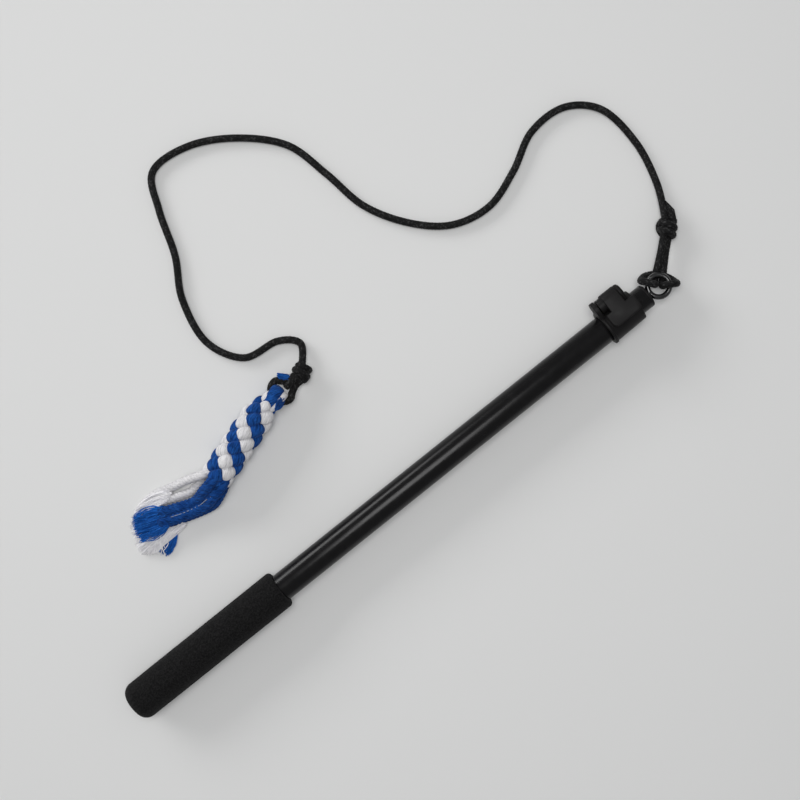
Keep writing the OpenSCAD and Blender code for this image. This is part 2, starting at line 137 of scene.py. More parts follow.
# finishes, one for each material of the pole; a bump is its strength and its depth
def foamLook():
    # deep is the painted shade colour inside the pores
    foam = {"deep": (0.0014, 0.0014, 0.0015), "skin": (0.0135, 0.0131, 0.0135),
            "dull": (0.0042, 0.0041, 0.0043), "rough": 0.93, "pore": 900, "speck": 640, "grain": 2600,
            "bump": (0.75, 0.6 * mm)}
    material, tree, shader = newLook("closedCellFoam", foam["skin"], foam["rough"], {
        "Sheen Weight": 0.03, "Sheen Roughness": 0.6, "Specular IOR Level": 0.08})
    pores = feed(tree, "ShaderNodeTexVoronoi", {"Vector": objectCoords(tree), "Scale": foam["pore"]},
                 feature="F1").outputs["Distance"]
    # pore mask: painted shade that darkens the pores to the deep colour, and the depth of the pores in the
    # bump
    poreDepthAndShade = ramp(tree, pores, (0.05, 0.0), (0.5, 1.0))
    grain = noise(tree, foam["grain"], 3)
    specks = noise(tree, foam["speck"], 2, 0.6)
    skin = mixed(tree, ramp(tree, specks, (0.38, 0.0), (0.62, 1.0)), foam["dull"], foam["skin"])
    wire(shader, "Base Color", mixed(tree, poreDepthAndShade, foam["deep"], skin))
    height = mixed(tree, 0.4, mixed(tree, 0.35, poreDepthAndShade, grain), specks)
    bumped(shader, height, *foam["bump"])
    return material


def tubeLook():
    tube = {"coat": (0.0032, 0.003, 0.0033), "pale": (0.0052, 0.0049, 0.0053), "smooth": 0.19, "dull": 0.29,
            "drawn": (9, 650, 650), "spot": 140, "peel": 900, "bump": (0.05, 0.1 * mm)}
    material, tree, shader = newLook("satinTubeCoat", tube["coat"], tube["smooth"],
                                     {"Specular IOR Level": 0.22})
    drawn = noise(tree, 1.0, 4, place=objectCoords(tree, tube["drawn"]))
    spots = noise(tree, tube["spot"], 3)
    tone = mixed(tree, 0.5, drawn, spots)
    wire(shader, "Roughness", ramp(tree, tone, (0.3, tube["smooth"]), (0.7, tube["dull"])))
    wire(shader, "Base Color", ramp(tree, spots, (0.3, tube["coat"]), (0.75, tube["pale"])))
    peel = noise(tree, tube["peel"], 2)
    bumped(shader, mixed(tree, 0.4, peel, drawn), *tube["bump"])
    return material


def mouldedLook(name, tone, roughness):
    moulded = {"grain": 2300, "flow": 120, "worn": 1.45, "bump": (0.22, 0.12 * mm)}
    material, tree, shader = newLook(name, tone, roughness, {"Specular IOR Level": 0.13})
    grain = noise(tree, moulded["grain"], 2)
    flow = noise(tree, moulded["flow"], 3)
    worn = tuple(moulded["worn"] * part for part in tone)
    wire(shader, "Base Color", ramp(tree, flow, (0.35, tone), (0.75, worn)))
    wire(shader, "Roughness", ramp(tree, flow, (0.3, roughness - 0.06), (0.7, roughness + 0.08)))
    bumped(shader, grain, *moulded["bump"])
    return material


def eyeLook():
    coat = {"tone": (0.006, 0.006, 0.0064), "deep": (0.005, 0.005, 0.0053), "pale": (0.011, 0.011, 0.0115),
            "rough": 0.17, "smear": 260, "peel": 700, "bump": (0.06, 0.1 * mm)}
    material, tree, shader = newLook("glossEyeCoat", coat["tone"], coat["rough"],
                                     {"Coat Weight": 0.5, "Coat Roughness": 0.08})
    smears = noise(tree, coat["smear"], 3)
    wire(shader, "Roughness", ramp(tree, smears, (0.35, 0.12), (0.7, 0.26)))
    wire(shader, "Base Color", ramp(tree, smears, (0.4, coat["deep"]), (0.8, coat["pale"])))
    bumped(shader, noise(tree, coat["peel"], 2), *coat["bump"])
    return material


def fastenerLook(name, tone, roughness):
    steel = {"turned": 1500, "patch": 420, "dark": 0.7, "bump": (0.08, 0.05 * mm)}
    material, tree, shader = newLook(name, tone, roughness, {"Metallic": 1.0})
    turned = noise(tree, steel["turned"], 3)
    wire(shader, "Roughness", ramp(tree, turned, (0.3, roughness - 0.1), (0.7, roughness + 0.12)))
    patches = noise(tree, steel["patch"], 3)
    dark = tuple(steel["dark"] * part for part in tone)
    wire(shader, "Base Color", ramp(tree, patches, (0.35, tone), (0.7, dark)))
    bumped(shader, turned, *steel["bump"])
    return material


def guideLook():
    nylon = {"tone": (0.68, 0.68, 0.64), "dull": (0.62, 0.62, 0.58), "pale": (0.72, 0.72, 0.69),
             "rough": 0.5, "cloud": 160, "grain": 1800, "bump": (0.12, 0.08 * mm)}
    material, tree, shader = newLook("nylonGuide", nylon["tone"], nylon["rough"],
                                     {"Subsurface Weight": 0.05})
    cloudy = noise(tree, nylon["cloud"], 3)
    wire(shader, "Base Color", ramp(tree, cloudy, (0.3, nylon["dull"]), (0.7, nylon["pale"])))
    bumped(shader, noise(tree, nylon["grain"], 2), *nylon["bump"])
    return material


def cordLook():
    # gap is the painted shade colour for the valleys between the carriers
    braid = {"gap": (0.0012, 0.0012, 0.0013), "crest": (0.0066, 0.0065, 0.0067),
             "fleck": (0.047, 0.0465, 0.047), "rough": 0.66, "fibre": 2800, "bump": (0.35, 0.15 * mm)}
    material, tree, shader = newLook("braidedCord", braid["crest"], braid["rough"], {
        "Sheen Weight": 0.04, "Sheen Roughness": 0.45, "Specular IOR Level": 0.12})
    flecks = ramp(tree, attribute(tree, "fleck"), (0.58, 0.0), (1.0, 1.0))
    # the lift mark darkens the valleys between the carriers: painted shade; the flecks are the cord's own
    # lighter fibres
    lift = ramp(tree, attribute(tree, "lift"), (0.1, 0.0), (0.75, 1.0))
    bright = mixed(tree, flecks, braid["crest"], braid["fleck"])
    wire(shader, "Base Color", mixed(tree, lift, braid["gap"], bright))
    bumped(shader, noise(tree, braid["fibre"], 3), *braid["bump"])
    return material


def cottonLook(name, crest, groove, pale, shade, haze=0.15):
    yarn = {"slant": 38, "thin": 0.028, "long": 0.2, "fuzz": 1700, "patch": 210, "rough": 0.95,
            "bump": (0.9, 0.9 * mm)}
    material, tree, shader = newLook(name, crest, yarn["rough"], {
        "Sheen Weight": haze, "Sheen Roughness": 0.5, "Specular IOR Level": haze})
    uv = feed(tree, "ShaderNodeUVMap", uv_map="ropeUv").outputs["UV"]
    combed = feed(tree, "ShaderNodeMapping", {
        "Vector": uv, "Rotation": (0, 0, math.radians(yarn["slant"])),
        "Scale": (yarn["thin"], yarn["long"], 1)}, vector_type="TEXTURE").outputs["Vector"]
    streaks = noise(tree, 1.0, 3, 0.55, combed)
    fuzz = noise(tree, yarn["fuzz"], 4, 0.62)
    patches = noise(tree, yarn["patch"], 3)
    base = mixed(tree, ramp(tree, patches, (0.35, 0.0), (0.7, 1.0)), crest, pale)
    drawn = mixed(tree, 1.0, base, ramp(tree, streaks, (0.34, shade), (0.58, 1.0)), "MULTIPLY")
    soft = mixed(tree, 0.5, drawn, ramp(tree, fuzz, (0.3, shade), (0.62, 1.0)), "MULTIPLY")
    # the lift mark darkens the ply grooves to the groove colour: painted shade in the grooves; on frayed
    # yarns the lift is a random tone for each yarn
    lift = ramp(tree, attribute(tree, "lift"), (0.0, 0.0), (0.5, 1.0))
    wire(shader, "Base Color", mixed(tree, lift, groove, soft))
    bumped(shader, mixed(tree, 0.45, streaks, fuzz), *yarn["bump"])
    return material


looks = {
    "foam": foamLook(),
    "tube": tubeLook(),
    "plastic": mouldedLook("mouldedBlack", (0.0072, 0.0068, 0.007), 0.46),
    "hiddenPlastic": mouldedLook("plugBlack", (0.012, 0.012, 0.0125), 0.55),
    "eye": eyeLook(),
    "darkRivet": fastenerLook("blackenedRivet", (0.011, 0.0108, 0.011), 0.55),
    "pinSteel": fastenerLook("pinSteel", (0.09, 0.09, 0.092), 0.36),
    "zinc": fastenerLook("zincSteel", (0.42, 0.42, 0.43), 0.34),
    "guide": guideLook(),
    "cord": cordLook(),
    # the second colour of each cotton look is the painted shade colour for its ply grooves, and a random
    # darker yarn tone on frayed yarns
    "blue": cottonLook("blueCotton", (0.009, 0.068, 0.31), (0.0012, 0.007, 0.045), (0.02, 0.115, 0.43),
                       0.3, 0.05),
    "white": cottonLook("whiteCotton", (0.76, 0.75, 0.77), (0.34, 0.33, 0.37), (0.83, 0.82, 0.83), 0.72),
    # brighter copies of the blue and white cotton for the frayed yarns: painted light that lifts yarns lying
    # in shade
    "blueFrayPaintedLight": cottonLook("blueFrayPaintedLight", (0.012, 0.15, 0.62), (0.004, 0.042, 0.21), (0.028, 0.21, 0.76),
                           0.45, 0.04),
    "whiteFrayPaintedLight": cottonLook("whiteFrayPaintedLight", (0.94, 0.93, 0.95), (0.72, 0.71, 0.75), (0.97, 0.96, 0.97), 0.93),
    # a darker copy of the blue cotton for the loose blue tails: painted shade
    "blueTailPaintedShade": cottonLook("blueTailPaintedShade", (0.0075, 0.056, 0.26), (0.001, 0.0055, 0.036), (0.016, 0.092, 0.36),
                           0.3, 0.05),
    "thread": cottonLook("paleThread", (0.33, 0.36, 0.45), (0.12, 0.14, 0.22), (0.4, 0.43, 0.5), 0.7),
}
print("finishes ready:", len(looks))


# turns a mesh into a piece that rides on one of the pole's bodies
def settle(mesh, name, look, body, replaced=(), sharp=40):
    mesh.materials.clear()
    mesh.materials.append(looks[look])
    mesh.shade_smooth()
    mesh.set_sharp_from_angle(angle=math.radians(sharp))
    piece = placed(name, mesh)
    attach(piece, body)
    if replaced:
        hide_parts(*replaced)
    return piece


def onLine(mesh, name, look, replaced=(), sharp=180):  # a piece of the cord or the lure
    return settle(mesh, name, look, "lure_line", replaced, sharp)


# small tools for shapes
def meshOf(shape, name):
    mesh = bpy.data.meshes.new(name)
    shape.to_mesh(mesh)
    shape.free()
    return mesh


def joinedMesh(name, meshes):
    whole = bmesh.new()
    for mesh in meshes:
        whole.from_mesh(mesh)
        bpy.data.meshes.remove(mesh)
    return meshOf(whole, name)


def finalMesh(thing):  # with its modifiers or its curve's bevel applied
    graph = bpy.context.evaluated_depsgraph_get()
    return bpy.data.meshes.new_from_object(thing.evaluated_get(graph))


def roundStock(radius, length, segments):
    shape = bmesh.new()
    bmesh.ops.create_cone(shape, cap_ends=True, segments=segments, radius1=radius * mm, radius2=radius * mm,
                          depth=length * mm)
    return shape


def creases(shape, angle=1.0):
    return [edge for edge in shape.edges if edge.calc_face_angle(0) > angle]


def rounded(shape, edges, size, segments=3):
    bmesh.ops.bevel(shape, geom=edges, offset=size * mm, affect="EDGES", segments=segments, profile=0.5,
                    material=-1)


def pulled(shape, faces, shift):
    raised = bmesh.ops.extrude_face_region(shape, geom=faces)["geom"]
    top = [part for part in raised if isinstance(part, bmesh.types.BMVert)]
    bmesh.ops.translate(shape, verts=top, vec=shift)
    bmesh.ops.recalc_face_normals(shape, faces=shape.faces)


def closed(shape):
    bmesh.ops.holes_fill(shape, edges=[edge for edge in shape.edges if edge.is_boundary], sides=0)
    bmesh.ops.recalc_face_normals(shape, faces=shape.faces)


def spanOf(edge, axis):
    return abs(edge.verts[0].co[axis] - edge.verts[1].co[axis])


# lines: smooth curves through listed points, with even steps
def distances(line):
    return np.concatenate([[0], np.cumsum(np.linalg.norm(np.diff(line, axis=0), axis=1))])


def lineLength(line):
    return float(distances(line)[-1])


def respaced(line, step):
    along = distances(line)
    even = np.linspace(0, along[-1], max(2, math.ceil(along[-1] / step) + 1))
    return np.stack([np.interp(even, along, line[:, axis]) for axis in range(3)], axis=1)


def smoothLine(points, step):
    picked = np.array(points, float)
    padded = np.vstack([picked[:1], picked, picked[-1:]])
    t = np.linspace(0, 1, 40, endpoint=False)[:, None]
    parts = []
    for i in range(len(picked) - 1):
        a, b, c, d = padded[i:i + 4]
        parts.append(0.5 * (2 * b + (c - a) * t + (2 * a - 5 * b + 4 * c - d) * t ** 2
                            + (3 * b - a - 3 * c + d) * t ** 3))
    return respaced(np.vstack([*parts, picked[-1:]]), step)


def headings(line):
    ways = np.gradient(line, axis=0)
    return ways / np.linalg.norm(ways, axis=1)[:, None]


def squared(ways, heading):  # turned square to the heading
    ways = ways - (ways * heading).sum(axis=1)[:, None] * heading
    return ways / np.linalg.norm(ways, axis=1)[:, None]


def carriedSides(line):
    heading = headings(line)
    side = np.cross(heading[0], (0.0, 0.0, 1.0))
    sides = []
    for way in heading:
        side = side - (side @ way) * way
        side = side / np.linalg.norm(side)
        sides.append(side)
    sides = np.array(sides)
    return sides, np.cross(sides, heading)


# points in millimetres, turned and moved in the plane of the floor
def polar(radius, degrees):
    return radius * math.cos(math.radians(degrees)), radius * math.sin(math.radians(degrees))


def turnedFlat(points, degrees):
    cos, sin = polar(1, degrees)
    return [(u * cos - v * sin, u * sin + v * cos, w) for u, v, w in points]


def fromEye(points, place=(0, 0), degrees=0):
    turned = turnedFlat(points, degrees)
    return [eyeCentre + np.array([place[0] + u, place[1] + v, w]) * mm + (0, 0, restZ) for u, v, w in turned]


# a rope skin: a grid wrapped round the line, its seam welded and its two ends closed
def ropeMesh(name, line, around, section, frames=None):
    sides, ups = frames or carriedSides(line)
    count = len(line)
    size = (count, around + 1)
    sheet = bmesh.new()
    sheet.loops.layers.uv.new("ropeUv")
    bmesh.ops.create_grid(sheet, x_segments=around, y_segments=count - 1, size=0.5, calc_uvs=True)
    mesh = meshOf(sheet, name)
    flat = np.zeros(len(mesh.vertices) * 3, np.float32)
    mesh.vertices.foreach_get("co", flat)
    flat = flat.reshape(-1, 3)
    column = np.rint((flat[:, 0] + 0.5) * around).astype(int)
    row = np.rint((flat[:, 1] + 0.5) * (count - 1)).astype(int)
    along = distances(line)
    angle = tau * ((np.arange(around + 1) % around) / around - 0.25)
    wide, deep, marks = section(along[:, None], angle[None, :])
    wide, deep = np.broadcast_to(wide, size), np.broadcast_to(deep, size)
    spot = (line[row] + (wide[row, column] * np.cos(angle[column]))[:, None] * sides[row]
            + (deep[row, column] * np.sin(angle[column]))[:, None] * ups[row])
    mesh.vertices.foreach_set("co", spot.astype(np.float32).ravel())
    for mark, values in marks.items():
        layer = mesh.attributes.new(mark, "FLOAT", "POINT")
        values = np.broadcast_to(values, size)
        layer.data.foreach_set("value", values[row, column].astype(np.float32))
    uv = mesh.uv_layers["ropeUv"].data
    spread = np.zeros(len(uv) * 2, np.float32)
    uv.foreach_get("uv", spread)
    spread = spread.reshape(-1, 2)
    spread[:, 1] *= along[-1] / (tau * float(np.median(wide)))
    uv.foreach_set("uv", spread.ravel())
    skin = bmesh.new()
    skin.from_mesh(mesh)
    bmesh.ops.remove_doubles(skin, verts=skin.verts, dist=0.002 * mm)
    closed(skin)
    skin.to_mesh(mesh)
    skin.free()
    return mesh


# braided cord: two families of carriers that pass over and under each other
weave = {"radius": 3.3 * mm, "carriers": 8, "lay": 25 * mm, "relief": 0.16, "around": 48, "step": 0.58 * mm,
         "round": 2.4, "dive": 0.55, "gap": 0.35, "rise": 1.2}


def crown(turn, at, other, dive):
    return 1 - np.abs(2 * (turn - at)) ** weave["round"] + dive * np.cos(math.pi * (other - at))


def cordSection(radius, ends=(0, 0)):
    def section(along, angle):
        carriers, lay = weave["carriers"], weave["lay"]
        left = carriers * (angle / tau + along / lay)
        right = carriers * (angle / tau - along / lay)
        leftAt, rightAt = np.rint(left), np.rint(right)
        leftTop = crown(left, leftAt, right, weave["dive"])
        rightTop = crown(right, rightAt, left, -weave["dive"])
        lift = np.clip((np.maximum(leftTop, rightTop) - weave["gap"]) / weave["rise"], 0, 1)
        # an odd number for each stitch, from which its fleck comes
        odd = np.where(leftTop > rightTop, (leftAt % carriers) * 12.9898, (rightAt % carriers) * 78.233 + 3.1)
        odd = odd + np.floor(along / lay * 2 * carriers) * 0.731
        fleck = np.abs(np.modf(np.sin(odd) * 4375.85)[0])
        reach = radius * (1 - weave["relief"] * (1 - lift))
        for tip, away in zip(ends, (along, along[-1] - along)):
            if tip:
                reach = reach * np.sqrt(np.clip(1 - (1 - np.clip(away / tip, 0, 1)) ** 2, 0.12, 1))
        return reach, reach, {"lift": lift, "fleck": fleck}
    return section


def cordPiece(name, line, node, radius=weave["radius"]):
    mesh = ropeMesh(name, line, weave["around"], cordSection(radius))
    return onLine(mesh, name, "cord", [node])


# the long run of cord, from the knot at the eye to the knot at the lure
runRoute = [
    (40, 37.5, 9), (43, 42, 9), (58, 71, 3.6), (66, 110, 3.3), (61, 151, 3.3), (36, 174, 3.3), (0, 175, 3.3),
    (-34, 158, 3.3), (-70, 147, 3.3), (-106, 155, 3.3), (-135, 181, 3.3), (-156, 217, 3.3), (-164, 259, 3.3),
    (-175, 300, 3.3), (-206, 333, 3.3), (-244, 354, 3.3), (-282, 356, 3.3), (-299, 326, 3.3),
    (-313, 286, 3.3), (-332, 252, 3.3), (-339, 210, 3.3), (-322, 178, 3.3), (-290, 171, 3.3),
    (-275, 157, 4.5), (-285, 141, 8), (-288.5, 138, 8.5),
]
runLine = smoothLine(fromEye(runRoute), weave["step"])
cordRun = cordPiece("cordRun", runLine, "cord_run")
print("cord run, m:", round(lineLength(runLine), 3))

# the hitch: two legs under the ring's wire, up through its hole, over the wire in two ears, and a bar below
hitch = {"turn": 41, "earTurn": 7, "radius": 3.25 * mm, "bar": (11.2, 0, -13.8), "legs": [
    (48.5, 2.4, -8.5, 1.6), (43.5, 2.4, -8.5, 1.6), (32, 2.4, -8, 1.6), (22, 2.7, -7.4, 1),
    (14, 3.1, -6.8, 0.3), (9, 3.3, -6.4, 0), (4.6, 3.3, -5.6, 0), (1.6, 3.3, -3, 0), (0.5, 3.4, 1.2, 0)],
    "ear": [(0.8, 5.4, 5.2), (1.6, 9.4, 6.6), (2.4, 13.4, 4.9), (3.2, 15.7, 0.6), (5, 14.6, -4.4),
            (8, 11.6, -10.4), (10.4, 6.4, -13.7)]}


def hitchHalf(side):
    legs = [(u, side * v, w + side * over) for u, v, w, over in hitch["legs"]]
    return legs + turnedFlat([(u, side * v, w) for u, v, w in hitch["ear"]], hitch["earTurn"])


hitchPoints = hitchHalf(1) + turnedFlat([hitch["bar"]], hitch["earTurn"]) + hitchHalf(-1)[::-1]
hitchRun = smoothLine([eyeCentre + np.array(point) * mm for point in turnedFlat(hitchPoints, hitch["turn"])],
                      weave["step"])
hitchLoop = cordPiece("hitchLoop", hitchRun, "hitch_loop", hitch["radius"])
print("hitch, m:", round(lineLength(hitchRun), 3))

# the loop that the lure hangs on
toyLoopRoute = [
    (-287, 136.4, 9), (-291, 137.2, 9), (-300, 136.9, 10.8), (-306.5, 139.3, 12.4), (-312, 143.9, 13),
    (-318.2, 142.5, 13), (-322, 137.2, 13), (-322, 130.8, 13), (-318.2, 125.5, 13), (-312, 123.5, 13),
    (-306.5, 127.4, 12.4), (-300, 130.25, 10.8), (-291, 130.4, 9), (-287, 131.5, 9),
]
toyLoopLine = smoothLine(fromEye(toyLoopRoute), weave["step"])
toyLoop = cordPiece("toyLoop", toyLoopLine, "toy_loop", radius=3.35 * mm)

# knots, each wound from one length of cord: wraps round a core, then a turn that rides over them
knots = {
    "topKnot": {"node": "top_knot", "place": polar(52.5, hitch["turn"]), "heading": hitch["turn"],
                "half": 7.3, "wraps": 2.35, "start": 150, "ride": 130},
    "toyKnot": {"node": "toy_knot", "place": (-290.5, 135.6), "heading": 215, "half": 6.4, "wraps": 2.2,
                "start": 60, "ride": -120, "cutEnd": [(-291, 135.8, 11.5), (-297, 135.3, 13.3),
                                                      (-302, 134.7, 14.7), (-309.6, 133.7, 16.2)]},
}


def knotPiece(name, knot):
    wound = {"core": 2.6, "out": 5.75, "over": 7.3, "cord": 3.3, "middle": 9, "filler": 6.3, "around": 40,
             "step": 0.7 * mm, "tip": 2 * mm, "cutTip": 0.9 * mm}
    half, climb = knot["half"], wound["out"] - wound["core"]
    share = np.linspace(0, 1, 180)
    radius = wound["core"] + climb * np.clip(share / 0.1, 0, 1) ** 0.7  # out of the core in a tenth
    spin = knot["start"] + 360 * knot["wraps"] * share
    turns = list(zip(half * (1 - 2 * share), radius, spin))
    share = np.linspace(0, 1, 60)[1:]
    arch = np.sin(math.pi * np.clip(share * 1.15, 0, 1)) ** 0.8
    sink = (np.clip(share - 0.8, 0, 1) / 0.2) ** 1.5  # the last fifth goes back into the core
    radius = wound["out"] + (wound["over"] - wound["out"]) * arch - climb * sink
    turns += zip(-half + 2 * half * share, radius, spin[-1] + knot["ride"] * share)
    lowest = wound["cord"] - wound["middle"] + 0.1  # keeps the turns off the floor
    points = []
    for x, out, degrees in turns:
        y, z = polar(out, degrees)
        points.append((x, y, max(z, lowest) + wound["middle"]))
    line = respaced(np.array(fromEye(points, knot["place"], knot["heading"])), wound["step"])
    cord = wound["cord"] * mm
    parts = [ropeMesh(name, line, wound["around"], cordSection(cord, (wound["tip"], wound["tip"])))]
    filler = bmesh.new()
    bmesh.ops.create_uvsphere(filler, u_segments=32, v_segments=20, radius=1)
    centre = Vector(fromEye([(0, 0, wound["middle"])], knot["place"])[0])
    thick = wound["filler"] * mm
    bmesh.ops.transform(filler, verts=filler.verts, matrix=Matrix.Translation(centre)
                        @ Matrix.Rotation(math.radians(knot["heading"]), 4, "Z")
                        @ Matrix.Diagonal((1.3 * half * mm, thick, thick, 1)))
    parts.append(meshOf(filler, name + "Core"))
    if "cutEnd" in knot:
        endLine = smoothLine(fromEye(knot["cutEnd"]), weave["step"])
        section = cordSection(cord, (0, wound["cutTip"]))
        parts.append(ropeMesh(name + "End", endLine, wound["around"], section))
    return onLine(joinedMesh(name, parts), name, "cord", [knot["node"]])


topKnot, toyKnot = [knotPiece(name, knot) for name, knot in knots.items()]

# the cut end that lies beside the run, sliced at a slant
cutEnd = {"route": [(54, -4.2, 9), (59.5, -3.4, 9), (67, -0.6, 8.8), (79, 4.6, 7.6)], "at": (72.5, 1.4, 8.4),
          "slant": 0.62, "tilt": 0.15}
tailLine = smoothLine(fromEye(cutEnd["route"], degrees=hitch["turn"]), weave["step"])
tailShape = bmesh.new()
tailShape.from_mesh(ropeMesh("cordTail", tailLine, weave["around"], cordSection(weave["radius"])))
cutAngle = math.radians(hitch["turn"]) - cutEnd["slant"]
bmesh.ops.bisect_plane(tailShape, geom=tailShape.verts[:] + tailShape.edges[:] + tailShape.faces[:],
                       plane_co=Vector(fromEye([cutEnd["at"]], degrees=hitch["turn"])[0]),
                       plane_no=Vector((math.cos(cutAngle), math.sin(cutAngle), cutEnd["tilt"])),
                       clear_outer=True)
closed(tailShape)
cordTail = onLine(meshOf(tailShape, "cordTail"), "cordTail", "cord", ["cord_tail"], sharp=60)
print("knots tied")

# the lure: four strands crowned over each other, two white and two blue, each a row of bumps
lure = {"start": (-330, 133.5), "turn": 197, "axis": 15, "end": 80, "bump": 7.38, "topBump": 32,
        "quarter": 45, "reachAt": (-14, -6, 0, 12, 74, 80, 86), "reach": (6.5, 8, 9.2, 15, 15, 13.6, 12)}
strand = {"first": -5.5, "last": 6.7, "full": 15, "deep": 5.2, "wide": 4.5, "bulge": 2.9, "dip": 4.4,
          "swell": 0.05, "stray": 3.5, "pinch": 1.99, "steps": 420, "mean": 10, "around": 52}
heart = {"radius": 8.6, "length": 74, "middle": 41, "round": 3}
lureTurn = math.radians(lure["turn"])
lureAcross = (-math.sin(lureTurn), math.cos(lureTurn), 0.0)


def besideBraid(points):
    return fromEye(points, lure["start"], lure["turn"])


def belowBraid(points):
    return besideBraid([(x + lure["end"], y, height) for x, y, height in points])


def roundAxis(x, out, angle):
    points = np.stack([x, out * np.sin(angle), lure["axis"] + out * np.cos(angle)], axis=1)
    return np.array(besideBraid(points))


def cottonSection(wide, deep, plies, lay, depth, full=2.0, taper=0):
    def section(along, angle):
        phase = plies * (angle / tau + along / (lay * mm))
        off = 2 * np.abs(phase - np.rint(phase))
        lift = np.sqrt(np.clip(1 - 0.94 * off ** 2, 0, 1))
        outline = (np.abs(np.cos(angle)) ** full + np.abs(np.sin(angle)) ** full) ** (-1 / full)
        reach = (1 - depth * (1 - lift)) * outline
        if taper:
            reach = reach * (0.5 + 0.5 * np.sqrt(np.clip((along[-1] - along) / (taper * mm), 0, 1)))
        return wide * mm * reach, deep * mm * reach, {"lift": lift}
    return section


def braidStrand(name, offset):
    # bumps, counted from the one on top
    count = np.linspace(strand["first"], strand["last"], strand["steps"])
    bumps = np.arange(math.floor(strand["first"]) - 1, math.ceil(strand["last"]) + 2)
    swell = np.interp(count, bumps, 1 + dice.normal(0, strand["swell"], len(bumps)))
    stray = np.interp(count, bumps, dice.normal(0, strand["stray"], len(bumps)))
    x = lure["topBump"] + lure["bump"] * count
    reach = np.interp(x, lure["reachAt"], lure["reach"])
    arch = np.sqrt(np.clip(1 - (strand["pinch"] * (count - np.rint(count))) ** 2, 0, 1))
    size = reach / strand["full"] * swell
    deep = strand["deep"] * size
    wide = (strand["wide"] + strand["bulge"] * arch) * size
    out = reach - deep - strand["dip"] * (1 - arch) * size
    angle = np.radians(offset + stray + lure["quarter"] * count)
    outward = np.stack([lureAcross[0] * np.sin(angle), lureAcross[1] * np.sin(angle), np.cos(angle)], axis=1)
    heading = headings(roundAxis(x, strand["mean"], angle))
    ups = squared(outward, heading)
    section = cottonSection(wide[:, None], deep[:, None], plies=4, lay=30, depth=0.05, full=2.4)
    line = roundAxis(x, out, angle)
    return ropeMesh(name, line, strand["around"], section, (np.cross(heading, ups), ups))


braidWhite = joinedMesh("braidWhite", [braidStrand("braidWhiteOne", 0), braidStrand("braidWhiteTwo", 180)])
onLine(braidWhite, "braidWhite", "white", ["toy_braid"])
heartShape = roundStock(heart["radius"], heart["length"], 24)
rounded(heartShape, creases(heartShape), heart["round"])
heartPlace = Vector(besideBraid([(heart["middle"], 0, lure["axis"])])[0])
bmesh.ops.transform(heartShape, verts=heartShape.verts, matrix=Matrix.Translation(heartPlace)
                    @ Matrix.Rotation(lureTurn, 4, "Z") @ Matrix.Rotation(math.pi / 2, 4, "Y"))
braidBlue = joinedMesh("braidBlue", [braidStrand("braidBlueOne", 90), braidStrand("braidBlueTwo", 270),
                                     meshOf(heartShape, "braidHeart")])
onLine(braidBlue, "braidBlue", "blue", ["toy_braid"])
print("braid laid")

# strands folded over the cord loop, one blue and broad, one white and slim
loopBow = {"x": -17.4, "y": 4.8, "radius": 10.5, "height": 13, "cord": 3.4, "around": 44, "step": 0.4 * mm}
folds = {"toyFoldBlue": {"side": 1.5, "wide": 6.1, "deep": 3.9, "look": "blue", "node": "toy_fold_blue"},
         "toyFoldWhite": {"side": 8.8, "wide": 3.2, "deep": 3.1, "look": "white", "node": "toy_fold_white"}}
for name, fold in folds.items():
    side = fold["side"]
    middle = loopBow["x"] + math.sqrt(loopBow["radius"] ** 2 - (side - loopBow["y"]) ** 2)
    bend = loopBow["cord"] + fold["deep"]
    bow = [polar(bend, degrees) for degrees in range(90, -91, -18)]
    turns = [(middle - back, side, loopBow["height"] + up) for back, up in bow]
    route = [(5, side * 0.6, 17.5), (-1.5, side * 0.9, 12.2 + bend), *turns, (-1.5, side * 0.9, 13.8 - bend),
             (5, side * 0.6, 11)]
    line = smoothLine(besideBraid(route), loopBow["step"])
    heading = headings(line)
    across = squared(np.tile(lureAcross, (len(line), 1)), heading)
    swell = (0.72 + 0.28 * np.sin(np.linspace(0, math.pi, len(line))) ** 0.6)[:, None]  # slim at both ends
    section = cottonSection(fold["wide"] * swell, fold["deep"] * swell, plies=4, lay=24, depth=0.06, full=2.3)
    mesh = ropeMesh(name, line, loopBow["around"], section, (across, np.cross(across, heading)))
    onLine(mesh, name, fold["look"], [fold["node"]])

